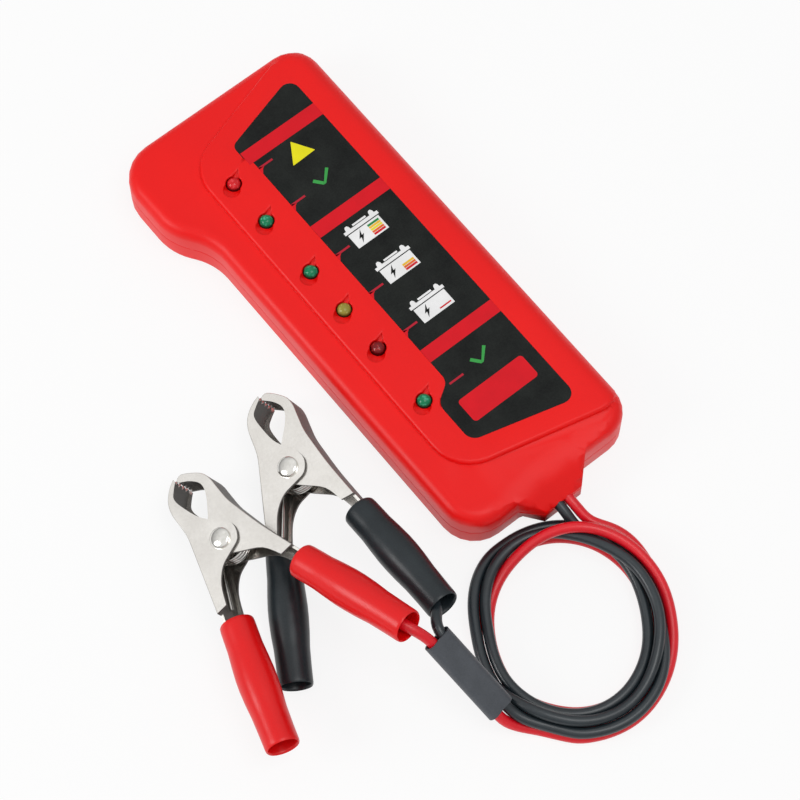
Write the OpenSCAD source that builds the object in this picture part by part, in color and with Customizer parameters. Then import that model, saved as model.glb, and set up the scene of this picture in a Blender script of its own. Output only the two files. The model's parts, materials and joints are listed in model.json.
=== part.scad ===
// Car battery tester: a hand-held case with six indicator lamps, and two leads that end in spring
// clips. Millimetres. +Z points out of the face and +Y towards the wide end. The case rests on z = 0,
// and the origin is under the middle of its length and width.

/* [Case] */
// Length of the case without its cord boss
body_l = 166; // [150:1:180]
// Width of the case across its wide end
body_w = 73.7; // [70:0.1:80]
// How far the wide end stands out on the left
lobe_step = 8.5; // [5:0.5:11]
// Length of the wide end along its left side
lobe_l = 29.4; // [26:0.2:36]
// Length of the waist between the wide end and the grip
waist_l = 11.6; // [10:0.2:16]
// Rounding of the waist's two corners, seen from above
waist_r = 20; // [14:1:24]
// Rounding of the grip's lower left corner
foot_left_r = 12; // [8:0.5:14]
// Rounding of the other outer corners
corner_r = 10; // [8:0.5:11]
// Rounding of the wide end's left corner
lobe_r = 13; // [8:0.5:14]
// Height of the seam between the two shells
seam_z = 8.5; // [8:0.5:10]
// Height of the front shell's rim
rim_z = 17.5; // [16.5:0.5:21]
// Wall of both shells
wall = 2; // [1.6:0.1:2.4]
// Rounding of the front edge
front_edge_r = 4; // [3:0.5:4.5]
// Rounding of the rear edge
rear_edge_r = 2.5; // [1.5:0.25:4]
// Height of the lip that locates the shells
lip_h = 1.2; // [0.8:0.1:1.8]

/* [Raised face] */
// How far the raised face stands over the rim
face_rise = 2; // [1.4:0.1:3]
// Rim left beside the raised face, on the left
face_margin = 9.4; // [7:0.2:12]
// Rim left under the raised face's lower left corner
face_foot_left = 17.7; // [15:0.1:20]
// Rim left under the raised face's lower right corner
face_foot_right = 4.1; // [3:0.1:6]
// Rim left over the raised face's upper left corner
face_top_left = 16.6; // [14:0.1:20]
// Rounding of the raised face's left corners
face_corner_r = 14; // [10:1:16]
// Rounding of the raised face's edge
face_edge_r = 1.2; // [0.6:0.1:1.3]

/* [Lamps] */
// Diameter of a lamp
lamp_d = 4.8; // [3.8:0.1:5.2]
// Distance of the lamps from the raised face's left edge
lamp_inset = 7.6; // [7:0.1:9]
// How far a lamp stands out of the face
lamp_proud = 1; // [0.6:0.1:1.6]
// Clearance round a lamp
lamp_play = 0.1; // [0.05:0.05:0.2]
// Depth of the hollow round a lamp
hollow_depth = 1; // [0.6:0.1:1.2]
// Width of the hollow round a lamp
hollow_w = 5.2; // [5:0.1:6]
// Length of the hollow's point, beside the lamp
hollow_point = 5.1; // [4:0.1:6]

/* [Label] */
// Thickness of the face label
label_t = 0.3; // [0.2:0.05:0.5]
// Width of the label beside the lamps
label_w = 27.5; // [24:0.5:31]
// Distance from the row of lamps to the label
label_gap = 9.2; // [8:0.1:11]

/* [Cord boss] */
// How far the boss stands out of the case
boss_l = 6; // [5:0.5:8]
// Width of the boss at its end
boss_w = 14; // [13:0.5:18]
// Height of the boss at its end
boss_top = 10; // [10:0.25:11]
// Chamfer under the boss
boss_chamfer = 3; // [1:0.5:4]
// Sideways place of the boss, from the case's middle
boss_x = 3.5; // [2:0.5:6]
// Radius of the scooped slope over the boss
scoop_r = 62; // [56:1:70]

/* [Circuit board] */
// Width of the board
board_w = 40; // [38:1:42]
// Length of the board
board_l = 130; // [126:1:132]
// Thickness of the board
board_t = 1.6; // [1.2:0.2:2]
// Height of the board's seats over the floor of the case
board_seat = 4; // [3.5:0.1:4.4]
// Distance of the board's screws from its corners
board_screw_inset = 4; // [3.5:0.25:5]

/* [Screws] */
// Thread diameter of the case screws
case_screw_d = 2.8; // [2.4:0.1:3.2]
// Head diameter of the case screws
case_head_d = 5.4; // [5:0.1:5.6]
// Distance of the case screws from the sides
screw_side = 7; // [7:0.25:8]
// Distance of the case screws from the ends
screw_end = 12; // [11.5:0.25:14]
// Thread diameter of the small screws inside
small_screw_d = 2.2; // [1.8:0.1:2.4]
// Head diameter of the small screws inside
small_head_d = 4.2; // [3.6:0.1:4.4]

/* [Leads] */
// Diameter of a lead
lead_d = 3.4; // [3:0.1:3.6]
// Distance between the leads where they leave the case
lead_pitch = 3.5; // [3.5:0.05:4]
// Width of the sleeve that holds the leads together
sleeve_w = 9.6; // [9:0.1:11]
// Thickness of the sleeve
sleeve_t = 4.8; // [4.6:0.1:5.6]
// Length of the sleeve
sleeve_l = 30; // [24:1:30]

/* [Clips] */
// Distance from a clip's rivet to its tip
jaw_l = 26; // [24:0.5:28]
// Distance from a clip's rivet to the end of its cheeks
handle_l = 17.5; // [16.5:0.5:19]
// Slope of a clip's handles from its middle
handle_slope = 16.5; // [14:0.5:17]
// Width of a clip over its outer lever
clip_w = 11.6; // [11:0.1:12.4]
// Thickness of the sheet steel
sheet = 0.8; // [0.6:0.05:0.9]
// Clearance between the nested levers
lever_play = 0.15; // [0.1:0.05:0.2]
// Gap between the closed jaws
jaw_gap = 0.3; // [0.2:0.05:0.6]
// Radius of the outer lever's ear
ear_r = 5.6; // [5.2:0.1:6]
// Diameter of the rivet
rivet_d = 3; // [2.6:0.1:3.4]
// Clearance round the rivet
rivet_play = 0.05; // [0.03:0.01:0.08]
// Diameter of the rivet's heads
rivet_head_d = 6.6; // [6:0.1:7.2]
// Height of the rivet's heads
rivet_head_h = 1.4; // [1:0.1:1.8]
// Width of the tongue inside a boot
tongue_w = 6.4; // [5.6:0.1:6.6]
// Length of the tongue
tongue_l = 24; // [20:1:26]

/* [Spring] */
// Diameter of the spring's wire
spring_wire = 1.4; // [1.1:0.1:1.5]
// Outer diameter of the spring's coil
spring_d = 13; // [12:0.2:13.4]
// Turns of the spring
spring_turns = 4; // [3:1:4]

/* [Boots] */
// Length of a boot
boot_l = 41.5; // [38:0.5:43]
// Diameter of a boot at its ends
boot_d = 10.6; // [10.4:0.1:11.4]
// Diameter of a boot at its swell
boot_swell_d = 12; // [11.4:0.1:12.4]
// Inner diameter of a boot
boot_bore = 8.7; // [8.6:0.05:9]

/* [Hidden] */
$fn = 48;
fit = 0.05;
bite = 1;

// Edges of the case.
left = -body_w / 2;
right = body_w / 2;
grip_left = left + lobe_step;
bottom = -body_l / 2 + boss_l / 2;
top = bottom + body_l;
face_z = rim_z + face_rise;
ceiling = rim_z - wall;
face_edge_out_r = front_edge_r + face_rise;

// The case seen from above, and its raised face: [x, y, corner radius], anticlockwise.
case_outline = [
    [grip_left, bottom, foot_left_r],
    [right, bottom, corner_r],
    [right, top, corner_r],
    [left, top, lobe_r],
    [left, top - lobe_l, waist_r],
    [grip_left, top - lobe_l - waist_l, waist_r]
];
face_left = grip_left + face_margin;
face_overrun = 1;
face_outline = [
    [face_left, bottom + face_foot_left, face_corner_r],
    [right + face_overrun, bottom + face_foot_right, corner_r - 2],
    [right + face_overrun, top + face_overrun, corner_r],
    [face_left, top - face_top_left, face_corner_r]
];
pocket_inset = 3.5;

// Lamps, from the wide end down.
lamp_x = face_left + lamp_inset;
lamp_ys = [56.2, 39.7, 17.5, 1, -15.5, -37.7];
lamp_colours = ["red", "green", "green", "gold", "darkred", "green"];
lamp_flange = 0.5;
lamp_l = 8.6;
hollow_back = 2.2;
hollow_turn = 38;

// Label: [x, y, corner radius], anticlockwise from its lower left corner.
label_left = lamp_x + label_gap;
label_right = label_left + label_w;
label_outline = [
    [label_left, -37.2, 4],
    [label_left - 6.7, -41.5, 5],
    [label_left - 6.7, -56.8, 4],
    [label_right, -66, 3.5],
    [label_right, 75.2, 3.5],
    [label_left - 1.6, 66.7, 2.5],
    [label_left - 1.6, 61, 3],
    [label_left, 58, 3]
];

// The board and what stands on it.
board_x = boss_x - 0.5;
board_y = bottom + wall + 15 + board_l / 2;
board_z = wall + board_seat;
board_top = board_z + board_t;
chip = [6.4, 19.3, 3.2];
chip_at = [board_x + 5, 8];
chip_pins = 7;
pin_pitch = 2.54;
resistor_d = 2.3;
resistor_l = 6.3;
resistor_rows = 5;
row_pitch = 5;
column_pitch = 9;
screw_bite = 3;
clamp_screw_l = 6.4;
capacitor_d = 5;
capacitor_h = 5.5;
post_d = 6;
solder_d = 2.6;

// Case screws and their columns.
column_d = case_head_d + 3;
head_depth = 3;
head_h = 1.8;
case_screw_top = ceiling - 1;
small_head_h = 1.4;
screw_points = [
    [grip_left + screw_side, bottom + screw_end],
    [right - screw_side, bottom + screw_end],
    [right - screw_side, top - screw_end],
    [left + screw_side, top - screw_end]
];
board_points = [
    for (sx = [-1, 1], sy = [-1, 1])
        [board_x + sx * (board_w / 2 - board_screw_inset), board_y + sy * (board_l / 2 - board_screw_inset)]
];

// Boss and clamp. The leads lie on the seam.
boss_y = bottom - boss_l;
boss_root_w = boss_w + 2 * boss_l;
scoop_mid = scoop_r - 7;
scoop_drop = 1.7;
scoop_c = [boss_x + 1, boss_y + 14 - scoop_r];
clamp_size = [lead_pitch + lead_d + 15, 6, 2.4];
clamp_y = bottom + 6;
clamp_reach = clamp_size[0] / 2 - small_head_d / 2 - 0.6;
lead_xs = [boss_x - lead_pitch / 2, boss_x + lead_pitch / 2];
lead_r = lead_d / 2;
lead_sides = 8;
coil_c = [-19.2, -116.3];
coil_outer = [34.2, 30.2];
coil_inner = [26.4, 22.4];
coil_turn = 47;
coil_h = 6.8;

// Where the leads run outside the coil: out of the board, through the boss and into the coil, and
// out of the coil, through the sleeve and into the boot.
black_out = [[1.75, -59, 9.6], [1.75, -62.5, 9.5], [1.75, -66, 9], [1.75, -69.5, 8.5],
    [1.75, -78, 8.5], [1.75, -87, 8.5], [1.8, -91, 6.6], [1.9, -95, 5.2]];
red_out = [[5.25, -59, 9.6], [5.25, -62.5, 9.5], [5.25, -66, 9], [5.25, -69.5, 8.5],
    [5.25, -78, 8.5], [5.25, -87, 8.5], [5.3, -91, 6.6], [5.4, -95, 5.2]];
black_in = [[-41.6, -137.9, 5.1], [-45.5, -134.6, 5.3], [-48.6, -130.6, 6.4], [-50.2, -127, 7.4],
    [-50.9, -123.8, 9.4], [-52.6, -115.8, 15.4], [-54.3, -107.9, 21.5], [-55.9, -99.9, 27.5],
    [-55.5, -97.9, 28], [-54.2, -95.8, 27.3], [-52.1, -94.1, 25.8], [-50.8, -92.1, 24.9],
    [-50.1, -89, 24], [-49.3, -84.5, 22.9], [-48.8, -79.5, 21.8], [-48.6, -74.1, 20.7]];
red_in = [[-42.4, -137.2, 1.7], [-46.1, -134.4, 1.9], [-50.1, -131, 3.2], [-53.4, -127.4, 6],
    [-54.5, -124.6, 9.4], [-56.2, -116.6, 15.4], [-57.8, -108.6, 21.5], [-59.5, -100.6, 27.5],
    [-60.4, -98.4, 29.4], [-61.8, -96.2, 31.2], [-63, -93.8, 32.1], [-64.2, -90, 31.7],
    [-65.2, -85.3, 30.5], [-66.2, -81, 29.2], [-67.3, -76.2, 27.8]];
sleeve_low = [-52.7, -124.2, 9.4];
sleeve_high = [-57.7, -100.2, 27.5];
sleeve_pitch = 3.6;

// Clips: pivot, and the turn of the clip's own frame, in which x runs to the handles, y to the
// wire lever and z along the rivet.
black_pivot = [-53.8, -29, 10.1];
black_turn = [22, -4.4, -107.3];
red_pivot = [-83.6, -35.3, 12.5];
red_turn = [21.5, -11.1, -93];

// The two levers' spines and open edges, from the tip to the end of the cheeks.
inner_w = clip_w - 2 * sheet - 2 * lever_play;
curve_steps = 4;
wire_end = [handle_l, 15.2];
free_end = [handle_l, -14.8];
wire_spine = [[-jaw_l + 0.6, jaw_gap / 2], [-jaw_l, 2.6], [-22, 7.2], [-18.6, 8.6], [-14, 8.7],
    [-9, 8.8], [-4, 9.7], [5.5, 11.8], wire_end];
wire_open = [[-jaw_l + 1.4, jaw_gap / 2], [-22, 3.5], [-18.7, 5.5], [-14.6, 4.6], [-8.3, 0.6],
    [-3.9, -2.6], [0, -4.6], [3.6, -2.9], [7.2, 2], [11.5, 7.9], [handle_l, 11]];
free_spine = [[-jaw_l, -jaw_gap / 2], [-jaw_l + 1.1, -2.3], [-22.8, -4.7], [-20.4, -6.3], [-16.7, -7.2],
    [-9, -7.5], [-3, -9], [2, -10.4], free_end];
free_open = [[-jaw_l + 1.3, -jaw_gap / 2], [-23, -2], [-20.8, -3.6], [-17, -3.2], [-10.3, -1],
    [-6, 2.2], [-3.7, 4.2], [0, ear_r], [3.96, 3.96], [ear_r, 0], [7.4, -4.6], [11.5, -8.4],
    [handle_l, -11]];
boot_lift = 2.6;
boot_start = 3;
crimp_l = 7;
crimp_d = 3.4;
crimp_at = tongue_l - 6;

// Inward normal of the edge from a to b, on an outline that runs anticlockwise.
function inward(a, b) = [a[1] - b[1], b[0] - a[0]] / norm([b[0] - a[0], b[1] - a[1]]);

// Points of an outline with every edge moved inwards by inset and every corner rounded.
function rounded(pts, inset = 0, steps = 6) = [
    for (i = [0 : len(pts) - 1])
        let (
            before = inward(pts[(i + len(pts) - 1) % len(pts)], pts[i]),
            after = inward(pts[i], pts[(i + 1) % len(pts)]),
            turn = cross(before, after) > 0 ? 1 : -1,
            r = max(pts[i][2] - turn * inset, 0.2),
            centre = [pts[i][0], pts[i][1]] + (before + after) / (1 + before * after) * (inset + turn * r),
            start = atan2(-turn * before[1], -turn * before[0]),
            sweep = turn * acos(before * after)
        )
        for (k = [0 : steps]) centre + r * [cos(start + sweep * k / steps), sin(start + sweep * k / steps)]
];

// A smooth curve through the points, with curve_steps steps between two of them.
function curve(pts, steps = curve_steps) = [
    for (i = [0 : len(pts) - 2], k = [0 : steps - 1])
        let (
            a = pts[max(i - 1, 0)],
            b = pts[i],
            c = pts[i + 1],
            d = pts[min(i + 2, len(pts) - 1)],
            t = k / steps
        )
        (2 * b + (c - a) * t + (2 * a - 5 * b + 4 * c - d) * t * t + (3 * b - a - 3 * c + d) * t * t * t) / 2,
    pts[len(pts) - 1]
];

// The same path moved sideways, to its left where the distance is positive.
function beside(pts, distance) = [
    for (i = [0 : len(pts) - 1])
        let (along = pts[min(i + 1, len(pts) - 1)] - pts[max(i - 1, 0)])
        pts[i] + distance * [-along[1], along[0]] / norm(along)
];

function reversed(pts) = [for (i = [len(pts) - 1 : -1 : 0]) pts[i]];
function unit(v) = v / norm(v);

// [height, inset] levels of an edge rounded upwards to height z, or downwards from height z.
function round_over(z, r, steps = 5) = [
    for (k = [0 : steps]) [z - r + r * sin(90 * k / steps), r - r * cos(90 * k / steps)]
];
function round_under(z, r, steps = 4) = [
    for (k = [steps : -1 : 0]) [z + r - r * sin(90 * k / steps), r - r * cos(90 * k / steps)]
];

// A closed solid through an outline at several [height, inset] levels, from the bottom up.
module loft(pts, levels) {
    rings = [for (level = levels) [for (p = rounded(pts, level[1])) [p[0], p[1], level[0]]]];
    m = len(rings[0]);
    last = (len(levels) - 1) * m;
    polyhedron(
        points = [for (ring = rings) each ring],
        faces = concat(
            [[for (i = [0 : m - 1]) i]],
            [
                for (k = [0 : len(levels) - 2], i = [0 : m - 1])
                    let (a = k * m + i, b = k * m + (i + 1) % m)
                    each [[a, a + m, b + m], [a, b + m, b]]
            ],
            [[for (i = [m - 1 : -1 : 0]) last + i]]
        )
    );
}

module plate(pts, inset, z0, z1) {
    translate([0, 0, z0]) linear_extrude(z1 - z0) polygon(rounded(pts, inset));
}

// A round tube swept along the points, with a ring at each.
module swept(pts, r) {
    n = len(pts);
    rings = [
        for (i = [0 : n - 1])
            let (
                along = unit(pts[min(i + 1, n - 1)] - pts[max(i - 1, 0)]),
                side = unit(cross(along, abs(along[2]) > 0.9 ? [1, 0, 0] : [0, 0, 1])),
                up = cross(side, along)
            )
            [for (k = [0 : lead_sides - 1]) let (a = 360 * k / lead_sides)
                pts[i] + r * (cos(a) * side + sin(a) * up)]
    ];
    polyhedron(
        points = [for (ring = rings) each ring],
        faces = concat(
            [[for (k = [0 : lead_sides - 1]) k]],
            [
                for (i = [0 : n - 2], k = [0 : lead_sides - 1])
                    let (a = i * lead_sides + k, b = i * lead_sides + (k + 1) % lead_sides)
                    each [[a, a + lead_sides, b + lead_sides], [a, b + lead_sides, b]]
            ],
            [[for (k = [lead_sides - 1 : -1 : 0]) (n - 1) * lead_sides + k]]
        )
    );
}

// What the scooped slope takes off the front shell over the boss.
module scoop(drop = 0) {
    end_r = scoop_r - 14;
    translate([scoop_c[0], scoop_c[1], -drop]) rotate_extrude($fn = 200) polygon([
        [end_r - 20, boss_top], [end_r, boss_top], [scoop_mid, rim_z - scoop_drop], [scoop_r, rim_z],
        [scoop_r, rim_z + 0.1 + drop], [end_r - 20, rim_z + 0.1 + drop]
    ]);
}

// The boss, between two heights.
module boss(z0, z1) {
    half = boss_root_w / 2 + bite;
    translate([0, 0, z0]) linear_extrude(z1 - z0) polygon([
        [boss_x - half, bottom + bite], [boss_x - boss_w / 2, boss_y],
        [boss_x + boss_w / 2, boss_y], [boss_x + half, bottom + bite],
        [boss_x + half, bottom + wall + bite], [boss_x - half, bottom + wall + bite]
    ]);
}

module lead_channels() {
    for (x = lead_xs)
        translate([x, boss_y - bite, seam_z]) rotate([-90, 0, 0]) cylinder(h = 12, r = lead_r + fit);
}

module hollow(at) {
    tip = hollow_back + hollow_point;
    r = hollow_w / 2;
    edge = acos(r / tip);
    translate([at[0], at[1], face_z - hollow_depth]) rotate([0, 0, hollow_turn]) translate([-hollow_back, 0, 0])
        linear_extrude(hollow_depth + bite) polygon([
            [tip, 0],
            for (k = [0 : 12]) let (a = edge + k * (360 - 2 * edge) / 12) r * [cos(a), sin(a)]
        ]);
}

module front_shell() {
    boss_in = wall + 0.5;
    color("red") difference() {
        union() {
            difference() {
                union() {
                    loft(case_outline, concat([[seam_z, 0]], round_over(rim_z, front_edge_r)));
                    intersection() {
                        loft(face_outline, concat([[rim_z - front_edge_r, 0]], round_over(face_z, face_edge_r)));
                        loft(case_outline, round_over(face_z, face_edge_out_r));
                    }
                    boss(seam_z, rim_z - 0.5);
                }
                scoop();
                difference() {
                    union() {
                        plate(case_outline, wall, seam_z - bite, ceiling);
                        plate(face_outline, pocket_inset, ceiling - bite, face_z - wall);
                        plate(case_outline, wall / 2, seam_z - bite, seam_z + lip_h + fit);
                    }
                    scoop(wall);
                    boss(seam_z - bite, seam_z + lip_h + bite);
                    face_side_wall();
                }
            }
            for (p = screw_points)
                translate([p[0], p[1], seam_z]) cylinder(h = ceiling + 0.5 - seam_z, d = column_d - 1.6);
        }
        for (p = screw_points)
            translate([p[0], p[1], seam_z - bite]) cylinder(h = case_screw_top + 0.5 - seam_z + bite, d = case_screw_d + 2 * fit);
        lead_channels();
        for (y = lamp_ys) {
            translate([lamp_x, y, ceiling - bite]) cylinder(h = 2 * face_z, d = lamp_d + 2 * lamp_play);
            hollow([lamp_x, y]);
        }
        plate(label_outline, -fit, face_z - label_t, face_z + bite);
    }
}

// Keeps the raised face's pocket clear of the case's rounded right side.
module face_side_wall() {
    difference() {
        translate([0, bottom, ceiling]) cube([body_w, body_l, face_rise + bite]);
        plate(case_outline, face_edge_out_r, ceiling - bite, face_z + bite);
    }
}

module rear_shell() {
    color("firebrick") difference() {
        union() {
            difference() {
                union() {
                    loft(case_outline, concat(round_under(0, rear_edge_r), [[seam_z, 0]]));
                    rear_boss();
                }
                plate(case_outline, wall, wall, seam_z + bite);
            }
            difference() {
                plate(case_outline, wall / 2 + fit, seam_z - bite, seam_z + lip_h);
                plate(case_outline, wall, seam_z - 2 * bite, seam_z + 2 * bite + lip_h);
                boss(seam_z - 2 * bite, seam_z + lip_h + 2 * bite);
            }
            for (p = screw_points)
                translate([p[0], p[1], wall / 2]) cylinder(h = seam_z - wall / 2, d = column_d);
            for (p = board_points)
                translate([p[0], p[1], wall / 2]) cylinder(h = board_z - wall / 2, d = post_d);
            for (s = [-1, 1])
                translate([boss_x + s * clamp_reach, clamp_y, wall / 2])
                    cylinder(h = seam_z + lead_r - wall / 2, d = small_head_d + 0.8);
            translate([boss_x - lead_pitch, clamp_y - clamp_size[1] / 2, wall / 2])
                cube([2 * lead_pitch, clamp_size[1], seam_z - lead_r - wall / 2]);
        }
        for (p = screw_points) {
            translate([p[0], p[1], -bite]) cylinder(h = head_depth + bite, d = case_head_d + 4 * fit);
            translate([p[0], p[1], 0]) cylinder(h = seam_z + bite, d = case_screw_d + 8 * fit);
        }
        for (p = board_points)
            translate([p[0], p[1], board_z - 3.5]) cylinder(h = 4.5, d = small_screw_d + 2 * fit);
        for (s = [-1, 1])
            translate([boss_x + s * clamp_reach, clamp_y, seam_z - 4]) cylinder(h = 8, d = small_screw_d + 2 * fit);
        lead_channels();
    }
}

// The rear half of the boss, with a chamfer under its end.
module rear_boss() {
    difference() {
        boss(0, seam_z);
        translate([-body_w, boss_y, 0]) rotate([atan2(boss_chamfer, boss_l), 0, 0])
            translate([0, -20, -20]) cube([2 * body_w, 20 + boss_l + 0.7, 20 + boss_chamfer * boss_l / norm([boss_l, boss_chamfer])]);
    }
}

module face_label() {
    color("black") plate(label_outline, 0, face_z - label_t, face_z);
}

// One lamp: a domed lens on a flange, standing on two legs on the board.
module lamp(k) {
    dome_z = face_z + lamp_proud - lamp_d / 2;
    flange_z = face_z + lamp_proud - lamp_l;
    color(lamp_colours[k]) translate([lamp_x, lamp_ys[k], 0]) {
        translate([0, 0, flange_z]) cylinder(h = 1, r = lamp_d / 2 + lamp_flange);
        translate([0, 0, flange_z]) cylinder(h = dome_z - flange_z, d = lamp_d);
        translate([0, 0, dome_z]) sphere(d = lamp_d);
        for (s = [-1, 1])
            translate([s * pin_pitch / 2 - 0.25, -0.25, board_top]) cube([0.5, 0.5, flange_z - board_top + bite / 2]);
    }
}

module circuit_board() {
    color("darkgreen") difference() {
        translate([board_x - board_w / 2, board_y - board_l / 2, board_z]) cube([board_w, board_l, board_t]);
        for (p = board_points)
            translate([p[0], p[1], board_z - bite]) cylinder(h = board_t + 2 * bite, d = small_screw_d + 0.4);
    }
}

// Places things on the board, in a row along it.
module on_board(x, y) {
    translate([x, y, board_top]) children();
}

module comparator_chip() {
    color("dimgray") on_board(chip_at[0], chip_at[1]) {
        translate([-chip[0] / 2, -chip[1] / 2, 0.5]) cube(chip);
        for (k = [0 : chip_pins - 1], s = [-1, 1])
            translate([s * (chip[0] / 2 + 0.5) - 0.7, (k - (chip_pins - 1) / 2) * pin_pitch - 0.3, 0]) cube([1.4, 0.6, 2]);
    }
}

module resistors() {
    color("tan") for (k = [0 : resistor_rows - 1], s = [0, 1])
        on_board(board_x + 4 + column_pitch * s, board_y - 38 + row_pitch * k) {
            translate([-resistor_l / 2, 0, resistor_d / 2]) rotate([0, 90, 0]) cylinder(h = resistor_l, d = resistor_d);
            for (e = [-1, 1])
                translate([e * (resistor_l / 2 + 0.4) - 0.5, -0.3, 0]) cube([1, 0.6, resistor_d / 2 + 0.3]);
        }
}

module capacitors() {
    color("navy") for (k = [0, 1])
        on_board(board_x + 4 + column_pitch * k, board_y + 34) cylinder(h = capacitor_h, d = capacitor_d);
}

module reverse_diode() {
    color("gray") on_board(board_x + column_pitch, board_y + 46) {
        translate([-2.6, 0, 1.35]) rotate([0, 90, 0]) cylinder(h = 5.2, d = 2.7);
        for (e = [-1, 1]) translate([e * 3 - 0.5, -0.3, 0]) cube([1, 0.6, 1.6]);
    }
}

// Two blobs of solder that hold the leads' ends to the board.
module solder_joints() {
    color("silver") for (x = lead_xs)
        on_board(x, black_out[0][1] + solder_d / 2 + fit) cylinder(h = 3, d = solder_d);
}

module small_screw(length) {
    translate([0, 0, -length]) cylinder(h = length, d = small_screw_d);
    difference() {
        cylinder(h = small_head_h, d = small_head_d);
        cross_slot(small_head_h);
    }
}

module cross_slot(z) {
    for (a = [0, 90]) rotate([0, 0, a]) translate([-1.1, -0.3, z - 0.6]) cube([2.2, 0.6, 1]);
}

module board_screws() {
    color("silver") for (p = board_points) translate([p[0], p[1], board_top]) small_screw(board_t + screw_bite);
}

module case_screws() {
    color("silver") for (p = screw_points) translate([p[0], p[1], 0]) {
        difference() {
            translate([0, 0, head_depth - head_h]) cylinder(h = head_h, d = case_head_d);
            translate([0, 0, head_depth - head_h]) mirror([0, 0, 1]) cross_slot(0.2);
        }
        translate([0, 0, head_depth - fit]) cylinder(h = case_screw_top - head_depth, d = case_screw_d);
    }
}

module cord_clamp() {
    color("dimgray") difference() {
        translate([boss_x - clamp_size[0] / 2, clamp_y - clamp_size[1] / 2, seam_z + lead_r]) cube(clamp_size);
        for (s = [-1, 1])
            translate([boss_x + s * clamp_reach, clamp_y, seam_z]) cylinder(h = 9, d = small_screw_d + 0.4);
    }
}

module cord_clamp_screws() {
    color("silver") for (s = [-1, 1])
        translate([boss_x + s * clamp_reach, clamp_y, seam_z + lead_r + clamp_size[2]]) small_screw(clamp_screw_l);
}

// A lead's two stretches outside the coil.
module lead(out, in) {
    swept(out, lead_r);
    swept(in, lead_r);
}

module oval(half) {
    translate(coil_c) rotate([0, 0, coil_turn]) polygon([
        for (k = [0 : 59]) [half[0] * cos(6 * k), half[1] * sin(6 * k)]
    ]);
}

// The outer shape of the leads' turns, as one closed ring.
module lead_coil() {
    color("dimgray") linear_extrude(coil_h) difference() {
        oval(coil_outer);
        oval(coil_inner);
    }
}

// A flat tube shrunk over both leads.
module lead_sleeve() {
    along = sleeve_high - sleeve_low;
    heading = atan2(along[1], along[0]);
    rise = asin(along[2] / norm(along));
    round_r = sleeve_t / 2 - 0.4;
    color("dimgray") translate(sleeve_low) rotate([0, 0, heading]) rotate([0, 90 - rise, 0]) difference() {
        linear_extrude(sleeve_l) polygon(rounded([
            [-sleeve_t / 2, -sleeve_w / 2, round_r], [sleeve_t / 2, -sleeve_w / 2, round_r],
            [sleeve_t / 2, sleeve_w / 2, round_r], [-sleeve_t / 2, sleeve_w / 2, round_r]
        ]));
        for (s = [-1, 1])
            translate([0, s * sleeve_pitch / 2, -bite]) cylinder(h = sleeve_l + 2 * bite, r = lead_r + 0.2);
    }
}

// Puts a clip's piece where the clip lies.
module in_clip(pivot, turn) {
    translate(pivot) rotate(turn) children();
}

// A handle's own frame: x along the handle from the end of its cheeks, y outwards from the clip.
module on_handle(side) {
    end = side > 0 ? wire_end : free_end;
    translate([end[0], end[1], 0]) rotate([0, 0, side * handle_slope]) mirror([0, side > 0 ? 0 : 1, 0]) children();
}

// A lever bent from one sheet: two cheeks, a spine along their outer edge and a tongue behind.
module lever(spine, open_edge, width, side) {
    path = curve(spine);
    edge = curve(open_edge);
    inner = beside(path, -side * sheet);
    far = -side * 40;
    last = inner[len(inner) - 1];
    difference() {
        union() {
            translate([0, 0, -width / 2]) linear_extrude(width) polygon(concat(path, reversed(edge)));
            on_handle(side) translate([-1, -sheet, -tongue_w / 2]) cube([tongue_l + 1, sheet, tongue_w]);
        }
        translate([0, 0, -width / 2 + sheet]) linear_extrude(width - 2 * sheet)
            polygon(concat(inner, [
                last + [6, side * 6 * tan(handle_slope)], [last[0] + 6, far], [inner[0][0], far]
            ]));
        cylinder(h = 2 * width, d = rivet_d + 2 * rivet_play, center = true);
        teeth(path[0], side, width);
    }
}

// Notches that leave teeth on the tip's edge.
module teeth(tip, side, width) {
    pitch = width / 5;
    for (k = [-2 : 2])
        translate([tip[0] + 0.3, tip[1] - side * 0.13, k * pitch]) rotate([0, 90, 0])
            cylinder(h = 7, d = pitch * 0.84, center = true, $fn = 4);
}

module wire_lever() {
    color("gainsboro") lever(wire_spine, wire_open, inner_w, 1);
}

module free_lever() {
    color("gainsboro") lever(free_spine, free_open, clip_w, -1);
}

module rivet() {
    half = clip_w / 2 + fit;
    steps = 8;
    rim = 0.4;
    color("silver") {
        cylinder(h = 2 * half, d = rivet_d, center = true);
        for (s = [0, 1]) mirror([0, 0, s]) translate([0, 0, half]) rotate_extrude() polygon([
            [0, 0], [rivet_head_d / 2, 0],
            for (k = [0 : steps])
                let (a = 90 * k / steps) [rivet_head_d / 2 * cos(a), rim + (rivet_head_h - rim) * sin(a)]
        ]);
    }
}

// The torsion spring: its coil round the rivet, and a leg behind each handle.
module spring() {
    coil_w = spring_wire * (spring_turns + 0.2);
    coil_r = (spring_d - spring_wire) / 2;
    seat = sheet + spring_wire / 2 + lever_play;
    reach = handle_l - 2;
    color("gray") {
        difference() {
            cylinder(h = coil_w, d = spring_d, center = true);
            cylinder(h = coil_w + 2, d = spring_d - 2 * spring_wire, center = true);
        }
        spring_leg([reach, wire_end[1] - 2 * tan(handle_slope) - seat / cos(handle_slope)], coil_r, (coil_w - spring_wire) / 2);
        spring_leg([reach, free_end[1] + 2 * tan(handle_slope) + seat / cos(handle_slope)], -coil_r, -(coil_w - spring_wire) / 2);
    }
}

module spring_leg(end, start_y, z) {
    start = [0.5, start_y];
    along = end - start;
    translate([start[0], start[1], z]) rotate([0, 0, atan2(along[1], along[0])]) rotate([0, 90, 0])
        cylinder(h = norm(along), d = spring_wire);
}

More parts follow.
